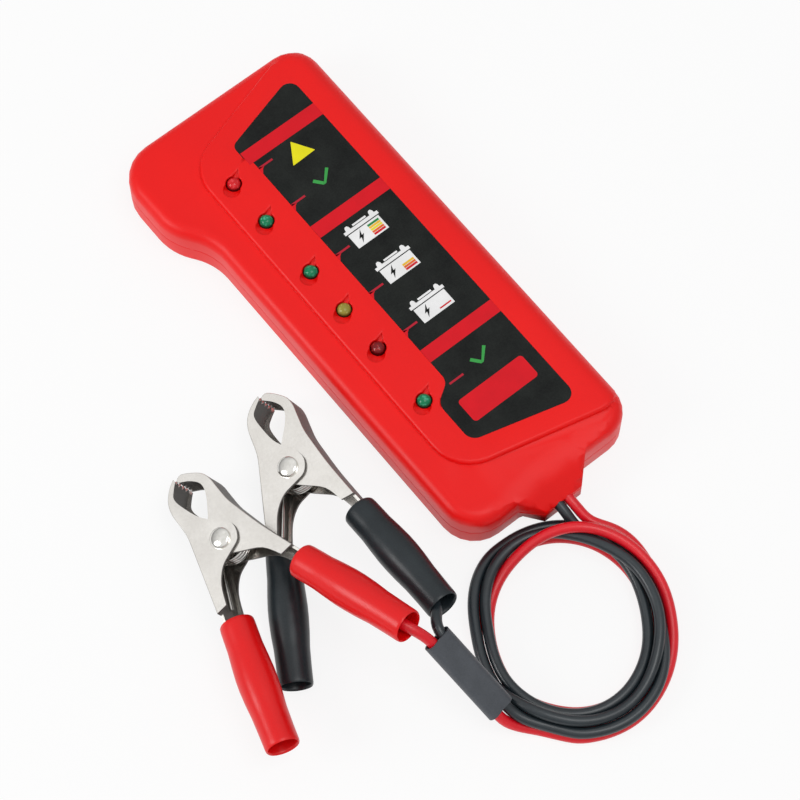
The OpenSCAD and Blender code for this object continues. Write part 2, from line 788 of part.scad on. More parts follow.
// A soft boot over a handle's tongue, with a swell and an open end.
module boot(side) {
    color("black") on_handle(side) translate([boot_start, -boot_lift, 0]) rotate([0, 90, 0]) rotate_extrude() polygon([
        [boot_bore / 2, 0], [boot_d / 2 - 0.5, 0], [boot_d / 2, 1.2], [boot_d / 2 + 0.1, boot_l * 0.2],
        [boot_swell_d / 2, boot_l * 0.42], [boot_swell_d / 2, boot_l * 0.5], [boot_d / 2 + 0.1, boot_l * 0.72],
        [boot_d / 2 - 0.1, boot_l - 0.8], [boot_d / 2 - 0.4, boot_l], [boot_bore / 2, boot_l]
    ]);
}

module crimp() {
    color("goldenrod") on_handle(1) translate([crimp_at, -boot_lift, 0]) rotate([0, 90, 0])
        cylinder(h = crimp_l, d = crimp_d);
}

front_shell();
rear_shell();
face_label();
lamp(0);  // lamp_alternator_fault
lamp(1);  // lamp_alternator_ok
lamp(2);  // lamp_battery_good
lamp(3);  // lamp_battery_fair
lamp(4);  // lamp_battery_low
lamp(5);  // lamp_start_ok
circuit_board();
comparator_chip();
resistors();
capacitors();
reverse_diode();
solder_joints();
board_screws();
case_screws();
cord_clamp();
cord_clamp_screws();
color("black") lead(black_out, black_in);  // black_lead
color("red") lead(red_out, red_in);  // red_lead
lead_coil();
lead_sleeve();
in_clip(black_pivot, black_turn) wire_lever();  // black_clip_wire_lever
in_clip(black_pivot, black_turn) free_lever();  // black_clip_free_lever
in_clip(black_pivot, black_turn) rivet();  // black_clip_rivet
in_clip(black_pivot, black_turn) spring();  // black_clip_spring
in_clip(black_pivot, black_turn) boot(1);  // black_clip_wire_boot
in_clip(black_pivot, black_turn) boot(-1);  // black_clip_free_boot
in_clip(black_pivot, black_turn) crimp();  // black_clip_crimp
in_clip(red_pivot, red_turn) wire_lever();  // red_clip_wire_lever
in_clip(red_pivot, red_turn) free_lever();  // red_clip_free_lever
in_clip(red_pivot, red_turn) rivet();  // red_clip_rivet
in_clip(red_pivot, red_turn) spring();  // red_clip_spring
in_clip(red_pivot, red_turn) boot(1);  // red_clip_wire_boot
in_clip(red_pivot, red_turn) boot(-1);  // red_clip_free_boot
in_clip(red_pivot, red_turn) crimp();  // red_clip_crimp
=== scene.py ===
import json
import math
import bmesh
import bpy
import numpy as np
from mathutils import Euler, Matrix, Vector


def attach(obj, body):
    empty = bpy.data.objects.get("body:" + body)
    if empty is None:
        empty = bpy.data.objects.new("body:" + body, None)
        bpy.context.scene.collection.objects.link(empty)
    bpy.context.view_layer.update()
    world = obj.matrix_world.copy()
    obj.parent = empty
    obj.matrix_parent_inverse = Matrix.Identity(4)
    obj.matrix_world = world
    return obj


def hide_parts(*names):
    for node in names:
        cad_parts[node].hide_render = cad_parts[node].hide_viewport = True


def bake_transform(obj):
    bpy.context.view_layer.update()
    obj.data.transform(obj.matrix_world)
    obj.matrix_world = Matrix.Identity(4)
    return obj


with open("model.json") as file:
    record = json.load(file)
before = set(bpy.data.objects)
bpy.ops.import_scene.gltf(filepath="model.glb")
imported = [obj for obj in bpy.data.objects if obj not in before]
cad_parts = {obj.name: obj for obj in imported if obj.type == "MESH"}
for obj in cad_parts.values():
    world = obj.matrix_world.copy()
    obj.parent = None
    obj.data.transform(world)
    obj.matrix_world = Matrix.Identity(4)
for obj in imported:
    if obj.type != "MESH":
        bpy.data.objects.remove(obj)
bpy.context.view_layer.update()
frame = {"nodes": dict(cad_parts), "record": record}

# View. The tester lies face up and is seen from high above its lower left corner, through a long
# lens. Lengths in this script are millimetres, which MM turns into the frame's metres.
MM = 0.001
view_target = Vector((-17.05, -33.25, 19.5)) * MM
view_azimuth = math.radians(-38.764)
view_elevation = math.radians(66.5)
view_distance = 870 * MM
view_lens = 130.5

back = Vector((
    math.sin(view_azimuth) * math.cos(view_elevation),
    -math.cos(view_azimuth) * math.cos(view_elevation),
    math.sin(view_elevation),
))
camera = bpy.data.objects.new("camera", bpy.data.cameras.new("camera"))
camera.data.sensor_width = 36
camera.data.lens = view_lens
camera.data.clip_start = 0.01
camera.location = view_target + back * view_distance
camera.rotation_euler = (-back).to_track_quat("-Z", "Y").to_euler()
bpy.context.collection.objects.link(camera)
bpy.context.scene.camera = camera
bpy.context.scene.view_settings.view_transform = "Standard"


# Leads. Two soft vinyl leads of 3.4 mm leave the case side by side, lie in two and a half turns on
# the floor, pass through the sleeve and go into the boots. A loop lays the turns, and a few rounds
# of settling let the strands rest on each other.
lead_d = 3.4
lead_r = lead_d / 2
lead_exit_y, lead_exit_z = -86, 8.5
black_out = [
    (1.75, -59, 9.6), (1.75, -62.5, 9.5), (1.75, -66, 9), (1.75, -69.5, 8.5),
    (1.75, -78, 8.5), (1.75, -87, 8.5), (1.8, -91, 6.6), (1.9, -95, 5.2),
]
red_out = [
    (5.25, -59, 9.6), (5.25, -62.5, 9.5), (5.25, -66, 9), (5.25, -69.5, 8.5),
    (5.25, -78, 8.5), (5.25, -87, 8.5), (5.3, -91, 6.6), (5.4, -95, 5.2),
]
black_in = [
    (-41.6, -137.9, 5.1), (-45.5, -134.6, 5.3), (-48.6, -130.6, 6.4), (-50.2, -127, 7.4),
    (-50.9, -123.8, 9.4), (-52.6, -115.8, 15.4), (-54.3, -107.9, 21.5), (-55.9, -99.9, 27.5),
    (-55.5, -97.9, 28), (-54.2, -95.8, 27.3), (-52.1, -94.1, 25.8), (-50.8, -92.1, 24.9),
    (-50.1, -89, 24), (-49.3, -84.5, 22.9), (-48.8, -79.5, 21.8), (-48.6, -74.1, 20.7),
]
red_in = [
    (-42.4, -137.2, 1.7), (-46.1, -134.4, 1.9), (-50.1, -131, 3.2), (-53.4, -127.4, 6),
    (-54.5, -124.6, 9.4), (-56.2, -116.6, 15.4), (-57.8, -108.6, 21.5), (-59.5, -100.6, 27.5),
    (-60.4, -98.4, 29.4), (-61.8, -96.2, 31.2), (-63, -93.8, 32.1), (-64.2, -90, 31.7),
    (-65.2, -85.3, 30.5), (-66.2, -81, 29.2), (-67.3, -76.2, 27.8),
]
coil_c = (-19.2, -116.3)
coil_half = (30.3, 26.3)
coil_tilt = math.radians(47)

# Each lead's place in the coil: how far it has turned clockwise from where it enters, in degrees, how
# far it lies outside the coil's middle line, and how high.
black_lanes = [
    (12, -1.7, 5.1), (22, -2.4, 5.1), (40, -2.8, 5.0), (60, -3.3, 5.0), (80, -3.2, 5.0), (100, -2.4, 5.0),
    (120, -2.0, 5.0), (140, -1.7, 5.0), (160, -2.1, 4.8), (185, -2.8, 4.8), (205, -2.5, 5.1), (220, -2.0, 5.1),
    (240, -2.2, 5.1), (260, -2.1, 5.1), (280, -0.2, 5.1), (300, 1.3, 5.2), (320, 1.6, 5.3), (340, 0.3, 5.2),
    (352, -1.6, 5.8), (360, -2.8, 7.3), (380, -3.6, 8.3), (400, -2.0, 8.4), (420, -0.9, 8.3), (440, 0.3, 8.1),
    (460, 0.7, 7.3), (480, 1.4, 5.5), (500, 1.7, 5.1), (520, 1.0, 6.2), (545, -0.4, 7.9), (565, -0.2, 7.4),
    (580, 1.4, 5.1), (600, 1.2, 5.1), (620, 1.3, 5.1), (640, 3.1, 5.1), (660, 4.4, 4.1), (680, 4.0, 2.0),
    (700, 3.1, 1.7), (720, 2.2, 1.7), (730, 1.6, 1.9), (745, 0.6, 3.0), (780, -0.2, 5.0), (800, 0.3, 5.0),
    (820, 2.4, 5.0), (840, 4.3, 5.0), (860, 4.7, 5.1), (880, 3.7, 5.1), (895, 2.7, 5.1),
]
red_lanes = [
    (12, 2.0, 4.4), (24, 2.9, 3.0), (40, 2.6, 1.8), (55, 1.8, 1.7), (80, 0.9, 1.7), (100, 1.0, 1.7),
    (120, 1.1, 1.7), (140, 1.2, 1.7), (160, 0.2, 1.7), (185, -0.9, 1.7), (205, 0.6, 1.7), (220, 0.6, 1.7),
    (240, 0.7, 1.7), (260, 1.2, 1.7), (280, 2.1, 1.7), (300, 2.2, 1.7), (320, 1.0, 1.7), (340, -0.2, 1.7),
    (360, -1.2, 1.7), (380, -1.4, 1.7), (400, -1.8, 1.7), (420, -2.1, 1.7), (440, -2.5, 1.7), (460, -2.4, 1.7),
    (480, -2.3, 1.7), (500, -2.2, 1.7), (520, -3.2, 1.7), (545, -4.1, 1.7), (565, -3.2, 1.7), (580, -2.8, 1.7),
    (600, -2.7, 1.7), (620, -2.2, 1.7), (640, -1.3, 1.9), (660, -1.0, 3.2), (680, -1.7, 5.8), (700, -1.4, 8.0),
    (720, -1.2, 9.7), (740, -0.1, 8.7), (760, 1.0, 7.6), (780, 1.9, 6.4), (800, 2.4, 4.8), (820, 3.6, 2.8),
    (840, 4.4, 1.7), (860, 4.8, 1.7), (880, 3.7, 1.7), (895, 3.0, 1.7),
]
entry = math.radians(45)
turn_step = 4
turn_blur = 9
point_step = 1.5
strand_play = 0.1
own_points = 8
seated_points = 47
push_share, even_share, round_share = 0.6, 0.5, 0.25


def coil_turns(lanes):
    """A lead's turns, clockwise, as points every few degrees along its smoothed lanes."""
    at, *lane = zip(*lanes)
    turned = np.arange(at[0], at[-1] + 1, turn_step)
    blur = np.hanning(turn_blur) / np.hanning(turn_blur).sum()
    out, height = (
        np.convolve(np.pad(np.interp(turned, at, values), turn_blur // 2, "edge"), blur, "valid")
        for values in lane
    )
    angle = entry - np.radians(turned)
    from_axis = angle - coil_tilt
    reach = 1 / np.hypot(np.cos(from_axis) / coil_half[0], np.sin(from_axis) / coil_half[1]) + out
    return list(zip(coil_c[0] + reach * np.cos(angle), coil_c[1] + reach * np.sin(angle), height))


def smooth_path(points, step):
    """Points every step millimetres along a smooth curve through the given ones."""
    p = np.array(points, float)
    p = np.vstack([2 * p[0] - p[1], p, 2 * p[-1] - p[-2]])
    t = np.linspace(0, 1, 9)[:-1, None]
    parts = [
        0.5 * (2 * b + (c - a) * t + (2 * a - 5 * b + 4 * c - d) * t**2 + (3 * b - a - 3 * c + d) * t**3)
        for a, b, c, d in zip(p, p[1:], p[2:], p[3:])
    ]
    fine = np.vstack(parts + [p[-2:-1]])
    along = np.concatenate([[0], np.cumsum(np.linalg.norm(np.diff(fine, axis=0), axis=1))])
    stops = np.linspace(0, along[-1], round(along[-1] / step) + 1)
    return np.column_stack([np.interp(stops, along, fine[:, k]) for k in range(3)])


def settle(paths, held, rounds=200):
    """Pushes strands that cut into each other apart, holds them above the floor and evens out the pushes."""
    start = np.vstack(paths)
    shift = np.zeros_like(start)
    lead = np.concatenate([np.full(len(p), k) for k, p in enumerate(paths)])
    order = np.concatenate([np.arange(len(p)) for p in paths])
    loose = ~np.concatenate(held)
    near = (lead[:, None] == lead[None]) & (np.abs(order[:, None] - order[None]) < own_points)
    gap = lead_d + strand_play
    for k in range(rounds):
        away = (start + shift)[:, None] - (start + shift)[None]
        apart = np.sqrt((away**2).sum(2)) + 1e-9
        push = np.where((apart < gap) & ~near, (gap - apart) / apart, 0)
        shift += push_share * (push[:, :, None] * away).sum(1) / np.maximum((push > 0).sum(1), 1)[:, None]
        shift[~loose] = 0
        for _ in range(4 if k < rounds * 0.8 else 1):
            mean = shift.copy()
            mean[1:-1] = (shift[:-2] + shift[2:]) / 2
            shift[loose] += even_share * (mean[loose] - shift[loose])
        shift[:, 2] = np.maximum(shift[:, 2], lead_r - start[:, 2])
    settled = np.split(start + shift, np.cumsum([len(p) for p in paths])[:-1])
    for path in settled * 4:
        path[1:-1] += round_share * (path[:-2] + path[2:] - 2 * path[1:-1])
    return settled


def lead_route(out, lanes, into):
    """A lead's whole way, out of the case, round the coil and into its boot."""
    return smooth_path(out + coil_turns(lanes) + into[1:], point_step)


black_path = lead_route(black_out, black_lanes, black_in)
red_path = lead_route(red_out, red_lanes, red_in)
still = [
    (path[:, 1] > lead_exit_y - 1) & (path[:, 0] > -20) | (np.arange(len(path)) > len(path) - seated_points)
    for path in (black_path, red_path)
]
black_path, red_path = settle([black_path, red_path], still)


def lead_object(name, path, material):
    """A round strand of vinyl along a path."""
    curve = bpy.data.curves.new(name, "CURVE")
    curve.dimensions = "3D"
    curve.bevel_depth = lead_r * MM
    curve.bevel_resolution = 5
    curve.use_fill_caps = True
    spline = curve.splines.new("POLY")
    spline.points.add(len(path) - 1)
    for point, place in zip(spline.points, path):
        point.co = (*(Vector(place) * MM), 1)
    spline.use_smooth = True
    curve.materials.append(material)
    piece = bpy.data.objects.new(name, curve)
    bpy.context.collection.objects.link(piece)
    return piece


# Vinyl, like every moulded or printed surface here, has a fine grain and a slow drift of tone.
def add_node(tree, kind, links=(), **values):
    """A node with its settings, whose sockets are linked to other sockets or set to values."""
    node = tree.nodes.new(kind)
    for name, value in values.items():
        setattr(node, name, value)
    for socket, source in dict(links).items():
        if isinstance(source, bpy.types.NodeSocket):
            tree.links.new(source, node.inputs[socket])
        else:
            node.inputs[socket].default_value = source
    return node


def linear(colour):
    """Linear values of a colour written as three numbers up to 255."""
    return [(c / 255 / 12.92) if c <= 10 else ((c / 255 + 0.055) / 1.055) ** 2.4 for c in colour]


def build_grain():
    """Fine grain and slow drift, as values from 0 to 1, at sizes in millimetres."""
    tree = bpy.data.node_groups.new("surface_grain", "ShaderNodeTree")
    for name, usual in (("Grain Size", 0.4), ("Drift Size", 20.0), ("Stretch", 1.0)):
        size = tree.interface.new_socket(name, in_out="INPUT", socket_type="NodeSocketFloat")
        size.default_value = usual
    for name in ("Grain", "Drift"):
        tree.interface.new_socket(name, in_out="OUTPUT", socket_type="NodeSocketFloat")
    given = tree.nodes.new("NodeGroupInput")
    result = tree.nodes.new("NodeGroupOutput")
    place = add_node(tree, "ShaderNodeTexCoord").outputs["Object"]
    axes = add_node(tree, "ShaderNodeSeparateXYZ", {"Vector": place})
    drawn = add_node(tree, "ShaderNodeMath", {
        0: axes.outputs["X"], 1: given.outputs["Stretch"],
    }, operation="MULTIPLY")
    point = add_node(tree, "ShaderNodeCombineXYZ", {
        "X": drawn.outputs[0], "Y": axes.outputs["Y"], "Z": axes.outputs["Z"],
    })
    for name, output, detail in (("Grain Size", "Grain", 3.0), ("Drift Size", "Drift", 2.0)):
        scale = add_node(tree, "ShaderNodeMath", {0: 1 / MM, 1: given.outputs[name]}, operation="DIVIDE")
        noise = add_node(tree, "ShaderNodeTexNoise", {
            "Vector": point.outputs[0], "Scale": scale.outputs[0], "Detail": detail, "Roughness": 0.6,
        })
        tree.links.new(noise.outputs["Fac"], result.inputs[output])
    return tree


surface_grain = build_grain()


def finish_material(
    name, colour, shade, roughness, roughness_spread=0.08, grain=0.4, drift=20.0, stretch=1.0,
    depth=0.02, **shader_values,
):
    """A material whose colour runs from colour to shade and whose grain stands depth millimetres."""
    material = bpy.data.materials.new(name)
    material.use_nodes = True
    tree = material.node_tree
    shader = tree.nodes["Principled BSDF"]
    group = add_node(tree, "ShaderNodeGroup", node_tree=surface_grain)
    group.inputs["Grain Size"].default_value = grain
    group.inputs["Drift Size"].default_value = drift
    group.inputs["Stretch"].default_value = stretch
    both = add_node(tree, "ShaderNodeMix", {
        0: 0.45, 2: group.outputs["Drift"], 3: group.outputs["Grain"],
    }, data_type="FLOAT")
    tone = add_node(tree, "ShaderNodeMapRange", {
        "Value": both.outputs[0], "From Min": 0.32, "From Max": 0.68,
    })
    colours = add_node(tree, "ShaderNodeMix", {
        0: tone.outputs[0], 6: (*linear(shade), 1), 7: (*linear(colour), 1),
    }, data_type="RGBA")
    tree.links.new(colours.outputs[2], shader.inputs["Base Color"])
    gloss = add_node(tree, "ShaderNodeMapRange", {
        "Value": group.outputs["Drift"], "From Min": 0.3, "From Max": 0.7,
        "To Min": roughness - roughness_spread / 2, "To Max": roughness + roughness_spread / 2,
    })
    tree.links.new(gloss.outputs[0], shader.inputs["Roughness"])
    bump = add_node(tree, "ShaderNodeBump", {
        "Height": group.outputs["Grain"], "Distance": depth * MM, "Strength": 1.0,
    })
    tree.links.new(bump.outputs[0], shader.inputs["Normal"])
    for socket, value in shader_values.items():
        shader.inputs[socket.replace("_", " ")].default_value = value
    return material


vinyl_skin = {"grain": 0.8, "drift": 12, "depth": 0.004}
black_vinyl = finish_material("black_vinyl", (40, 49, 54), (27, 34, 39), 0.32, **vinyl_skin)
red_vinyl = finish_material("red_vinyl", (232, 14, 36), (216, 8, 26), 0.34, **vinyl_skin)
black_cord = lead_object("black_lead_cord", black_path, black_vinyl)
red_cord = lead_object("red_lead_cord", red_path, red_vinyl)
for cord in (black_cord, red_cord):
    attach(cord, "root")
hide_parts("black_lead", "lead_coil")
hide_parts("red_lead")

# Case. Two shells of moulded red plastic meet at the seam. Their faces have a fine grain, and the
# outer corners along the seam and the lips of the lamps' hollows are broken by a small radius, as the mould
# leaves them.
face_z = 19.5
shoulder_z = 17.5
seam_z = 8.5
case_edge = 0.3
case_axis_x = 3.5
join_within = 0.002
level_within = 0.02
corner_angle = math.radians(35)
case_red = finish_material(
    "case_red", (243, 10, 6), (234, 5, 6), 0.4, grain=0.45, drift=26, depth=0.02, Specular_IOR_Level=0.32,
)


def new_object(name, bm, material, smooth=35):
    """A finished piece: its mesh from bm, its material, and edges under smooth degrees shaded round."""
    mesh = bpy.data.meshes.new(name)
    bm.to_mesh(mesh)
    bm.free()
    mesh.shade_smooth()
    mesh.set_sharp_from_angle(angle=math.radians(smooth))
    mesh.materials.append(material)
    piece = bpy.data.objects.new(name, mesh)
    bpy.context.collection.objects.link(piece)
    return piece


record = frame["record"]
body_of = {node: body for body, nodes in record["behaviour"]["bodies"].items() for node in nodes}
slot_of = {part["node"]: part["material_slot"] for part in record["subparts"]}


def joined_copy(node):
    """The mesh of a CAD node as a bmesh, with its triangles joined at their corners."""
    bm = bmesh.new()
    bm.from_mesh(frame["nodes"][node].data)
    bmesh.ops.remove_doubles(bm, verts=bm.verts, dist=join_within * MM)
    return bm


def lies_at(part, height):
    """Whether a face or an edge lies flat at a height."""
    return all(abs(v.co.z / MM - height) < level_within for v in part.verts)


def refill_flat(bm, heights):
    """Fills a shell's flat faces at these heights afresh, where long thin triangles lie folded over."""
    for height in heights:
        flat = [f for f in bm.faces if lies_at(f, height)]
        bmesh.ops.delete(bm, geom=flat, context="FACES")
        rim = [e for e in bm.edges if e.is_boundary]
        bmesh.ops.triangle_fill(bm, edges=rim, use_beauty=True, use_dissolve=False, normal=(0, 0, 1))
    bmesh.ops.recalc_face_normals(bm, faces=bm.faces)


def round_edges(bm, chosen, radius, segments=2, clamp=True):
    """Rounds the sharp edges that are chosen."""
    edges = [
        e for e in bm.edges
        if len(e.link_faces) == 2 and e.calc_face_angle(0) > corner_angle and chosen(e)
    ]
    bmesh.ops.bevel(
        bm, geom=edges, offset=radius * MM, offset_type="OFFSET", segments=segments, profile=0.5,
        affect="EDGES", clamp_overlap=clamp, material=-1,
    )


def stand_in(piece, node):
    """The piece takes a CAD node's place and its body, and the node is hidden."""
    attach(piece, body_of[node])
    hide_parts(node)


def even_shading(piece):
    """Keeps broad faces flat where they meet a small rounding."""
    even = piece.modifiers.new("even_shading", "WEIGHTED_NORMAL")
    even.keep_sharp = True


# The hollow round each lamp slopes down from a wide soft lip.
lamp_x = -11.35
lamp_ys = [56.2, 39.7, 17.5, 1, -15.5, -37.7]
hollow_reach = 5.6
hollow_side_x = -7.2
hollow_lip = 0.5


def middle_of(edge):
    return (edge.verts[0].co + edge.verts[1].co) / (2 * MM)


def is_hollow_lip(edge):
    """Whether an edge is the lip of a lamp's hollow in the face."""
    middle = middle_of(edge)
    near_lamp = any(math.hypot(middle.x - lamp_x, middle.y - y) < hollow_reach for y in lamp_ys)
    return lies_at(edge, face_z) and near_lamp and middle.x < hollow_side_x


def is_outer_seam(edge):
    """Whether an edge is the outer corner of a shell along the seam."""
    middle = middle_of(edge)
    side = min(edge.link_faces, key=lambda face: abs(face.normal.z)).normal
    outward = side.x * (middle.x - case_axis_x) + side.y * middle.y > 0
    return edge.is_convex and outward and lies_at(edge, seam_z)


bm = joined_copy("front_shell")
refill_flat(bm, (seam_z, shoulder_z))
round_edges(bm, is_hollow_lip, hollow_lip, segments=3, clamp=False)
round_edges(bm, is_outer_seam, case_edge)
cover = new_object("front_cover", bm, case_red)
even_shading(cover)
stand_in(cover, "front_shell")

bm = joined_copy("rear_shell")
refill_flat(bm, (seam_z, 0))
round_edges(bm, is_outer_seam, case_edge)
cover = new_object("rear_cover", bm, case_red)
even_shading(cover)
stand_in(cover, "rear_shell")

# Label. A black polyester film lies in a shallow recess of the raised face, with red banners,
# leader lines to the lamps, a warning triangle, ticks and three batteries printed on it.
ink = 0.03
label_x = (-2.15, 25.35)
banner_ys = [(58.1, 63.1), (24.4, 29.4), (-29.4, -24.4)]


def print_shapes(name, outlines, material, layer=1, round_corners=0):
    """Prints outlines on the label: each is filled and given the ink's thickness."""
    bm = bmesh.new()
    for outline in outlines:
        corners = [bm.verts.new((x * MM, y * MM, (face_z - ink) * MM)) for x, y in outline]
        bmesh.ops.contextual_create(bm, geom=corners)
        if round_corners:
            bmesh.ops.bevel(
                bm, geom=corners, offset=round_corners * MM, offset_type="OFFSET", segments=6, profile=0.5,
                affect="VERTICES", material=-1,
            )
    thick = bmesh.ops.extrude_face_region(bm, geom=bm.faces[:])["geom"]
    raised = [v for v in thick if isinstance(v, bmesh.types.BMVert)]
    bmesh.ops.translate(bm, verts=raised, vec=(0, 0, (layer + 1) * ink * MM))
    bmesh.ops.recalc_face_normals(bm, faces=bm.faces)
    piece = new_object(name, bm, material)
    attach(piece, "root")
    return piece


def ink_material(name, colour):
    return finish_material(
        name, colour, [c * 0.93 for c in colour], 0.4, grain=0.3, drift=6, depth=0.004,
        Specular_IOR_Level=0.2,
    )


def box_outline(x0, y0, x1, y1):
    return [(x0, y0), (x1, y0), (x1, y1), (x0, y1)]


def moved(outline, x, y):
    """An outline at its place on the label."""
    return [(px + x, py + y) for px, py in outline]


def paint(node, material):
    """Gives a CAD node that is shown as it is its finish."""
    slots = frame["nodes"][node].data.materials
    slots.clear()
    slots.append(material)


label_film = finish_material(
    "label_film", (34, 37, 35), (6, 8, 8), 0.5, grain=0.42, drift=9, depth=0.01, Specular_IOR_Level=0.14,
)
paint("face_label", label_film)
banner_red = ink_material("banner_red", (226, 18, 34))
banners = [box_outline(label_x[0] - (1.4 if y0 > 50 else 0), y0, label_x[1], y1) for y0, y1 in banner_ys]
notches = [
    [(label_x[0] - 0.15, y - 0.45), (-0.4, y - 1.2), (-1.2, y - 1.75), (label_x[0] - 0.15, y - 3.3)]
    for y in lamp_ys[:5]
]
print_shapes("label_banners", banners + notches, banner_red)
leader_red = ink_material("leader_red", (190, 30, 52))
leaders = [box_outline(label_x[0], y - 1.15, 3.2, y - 0.45) for y in lamp_ys]
print_shapes("label_leaders", leaders, leader_red)
print_shapes("label_plate", [box_outline(-4, -53, 20.8, -44.4)], banner_red, round_corners=1.2)
triangle_yellow = ink_material("triangle_yellow", (246, 236, 30))
triangle = [(11.3, 56.7), (6.8, 49.4), (15.6, 49.7)]
print_shapes("label_triangle", [triangle], triangle_yellow, round_corners=0.25)
tick_strokes = [
    [(-3.2, 0.5), (-2.3, 1.2), (-0.2, -1.3), (-0.9, -2.2)],
    [(-0.9, -2.2), (0.1, -2.2), (3.9, 1.6), (3.1, 2.3)],
]
tick_green = ink_material("tick_green", (62, 165, 78))
ticks = [moved(stroke, x, y) for x, y in ((11, 40.5), (10.5, -37)) for stroke in tick_strokes]
print_shapes("label_ticks", ticks, tick_green)

battery_at = [(10.8, 18.4), (10.8, 2.9), (10.6, -13.9)]
battery_body = box_outline(-5.9, -4.3, 5.9, 1.2)
battery_lid = box_outline(-6.5, 1.55, 6.5, 2.7)
battery_vents = box_outline(-2.6, 2.95, 2.6, 3.6)
battery_pole = [(-0.9, 2.7), (0.9, 2.7), (0.75, 3.6), (0.35, 4.15), (-0.35, 4.15), (-0.75, 3.6)]
bolt_halves = [
    [(0.95, 2.2), (-1.2, -0.45), (0.35, -0.1), (0.35, 0.45)],
    [(-0.95, -2.2), (1.2, 0.45), (-0.35, 0.1), (-0.35, -0.45)],
]
battery_white = ink_material("battery_white", (250, 250, 250))
battery_poles = [moved(battery_pole, -4.6, 0), moved(battery_pole, 4.6, 0)]
battery_shapes = [battery_body, battery_lid, battery_vents] + battery_poles
batteries = [moved(shape, x, y) for x, y in battery_at for shape in battery_shapes]
print_shapes("label_batteries", batteries, battery_white)
bolt_black = ink_material("bolt_black", (26, 28, 28))
bolts = [moved(half, x - 2.6, y - 1.4) for x, y in battery_at for half in bolt_halves]
print_shapes("label_bolts", bolts, bolt_black, layer=2)
bar_pitch = 0.88
bar_colours = [(45, 140, 72), (248, 196, 60), (240, 226, 60), (238, 112, 44), (216, 30, 44)]
bar_sets = {
    "green": [(0, 0)], "amber": [(0, 1), (1, 2)], "yellow": [(0, 2)],
    "orange": [(0, 3), (1, 3)], "red": [(0, 4), (1, 4), (2, 4)],
}
for (bar_name, places), colour in zip(bar_sets.items(), bar_colours):
    bars = []
    for battery, row in places:
        x, y = battery_at[battery]
        middle = y + 0.1 - row * bar_pitch
        bars.append(box_outline(x + 0.9, middle - (0.1 if battery == 2 else 0.35), x + 5.2, middle + 0.38))
    print_shapes(f"label_bars_{bar_name}", bars, ink_material(f"bar_{bar_name}", colour), layer=2)

# Lamps. Six round diodes of coloured epoxy stand on the board and look out through the face. Each
# has a flange, a domed lens and two tinned legs; the lens has painted shade at its rim and painted
# glints standing in for the bright chip under it.
lamp_d = 4.8
lamp_flange_z = 11.9
lamp_dome_z = 18.1
board_top = 7.6
pin_pitch = 2.54
pin_w = 0.5
green_lens = ((0, 126, 82), (110, 220, 180))
lamp_lenses = {
    "lamp_alternator_fault": ((214, 18, 28), (250, 90, 96)), "lamp_alternator_ok": green_lens,
    "lamp_battery_good": green_lens, "lamp_battery_fair": ((150, 142, 56), (225, 232, 140)),
    "lamp_battery_low": ((122, 8, 16), (226, 80, 70)), "lamp_start_ok": green_lens,
}


def build_lens_painted_light():
    """Masks of painted light on a lens: painted shade low on the dome at its rim, and painted glints where the
    chip's cup would sparkle through it.
    """
    tree = bpy.data.node_groups.new("lens_painted_light", "ShaderNodeTree")
    tree.interface.new_socket("Rim", in_out="OUTPUT", socket_type="NodeSocketFloat")
    tree.interface.new_socket("Sparkle", in_out="OUTPUT", socket_type="NodeSocketFloat")
    result = tree.nodes.new("NodeGroupOutput")
    place = add_node(tree, "ShaderNodeTexCoord")
    axes = add_node(tree, "ShaderNodeSeparateXYZ", {"Vector": place.outputs["Object"]})
    rim = add_node(tree, "ShaderNodeMapRange", {
        "Value": axes.outputs["Z"], "To Min": 1.0, "To Max": 0.0,
        "From Min": (lamp_dome_z + 0.8) * MM, "From Max": (lamp_dome_z + 1.75) * MM,
    })
    tree.links.new(rim.outputs[0], result.inputs["Rim"])
    noise = add_node(tree, "ShaderNodeTexNoise", {
        "Vector": place.outputs["Object"], "Scale": 0.9 / MM, "Detail": 1.0,
    })
    spark = add_node(tree, "ShaderNodeMapRange", {
        "Value": noise.outputs["Fac"], "From Min": 0.55, "From Max": 0.7,
    })
    tree.links.new(spark.outputs[0], result.inputs["Sparkle"])
    return tree


lens_painted_light = build_lens_painted_light()


def lens_material(name, deep, bright):
    """Coloured epoxy, deep in colour, with painted glints as bright specks and painted shade as a dark rim."""
    material = bpy.data.materials.new(name)
    material.use_nodes = True
    tree = material.node_tree
    shader = tree.nodes["Principled BSDF"]
    depth = add_node(tree, "ShaderNodeGroup", node_tree=lens_painted_light)
    # Painted glints: bright specks mixed into the lens colour.
    spark = add_node(tree, "ShaderNodeMath", {0: depth.outputs["Sparkle"], 1: 0.45}, operation="MULTIPLY")
    lit = add_node(tree, "ShaderNodeMix", {
        0: spark.outputs[0], 6: (*linear(deep), 1), 7: (*linear(bright), 1),
    }, data_type="RGBA")
    # Painted shade: the lens darkens towards its rim.
    dark = [c * 0.28 for c in deep]
    ringed = add_node(tree, "ShaderNodeMix", {
        0: depth.outputs["Rim"], 6: lit.outputs[2], 7: (*linear(dark), 1),
    }, data_type="RGBA")
    tree.links.new(ringed.outputs[2], shader.inputs["Base Color"])
    shader.inputs["Roughness"].default_value = 0.1
    shader.inputs["Specular IOR Level"].default_value = 0.3
    return material


def turned_body(outline, axis, steps, unit=1):
    """An outline of points turned once round an axis through the origin."""
    bm = bmesh.new()
    points = [bm.verts.new(Vector(point) * unit) for point in outline]
    edges = [bm.edges.new(pair) for pair in zip(points, points[1:])]
    bmesh.ops.spin(
        bm, geom=points + edges, cent=(0, 0, 0), axis=axis, dvec=(0, 0, 0), angle=math.tau, steps=steps,
        use_merge=True, use_duplicate=False,
    )
    bmesh.ops.remove_doubles(bm, verts=bm.verts, dist=0.001 * unit)
    return bm


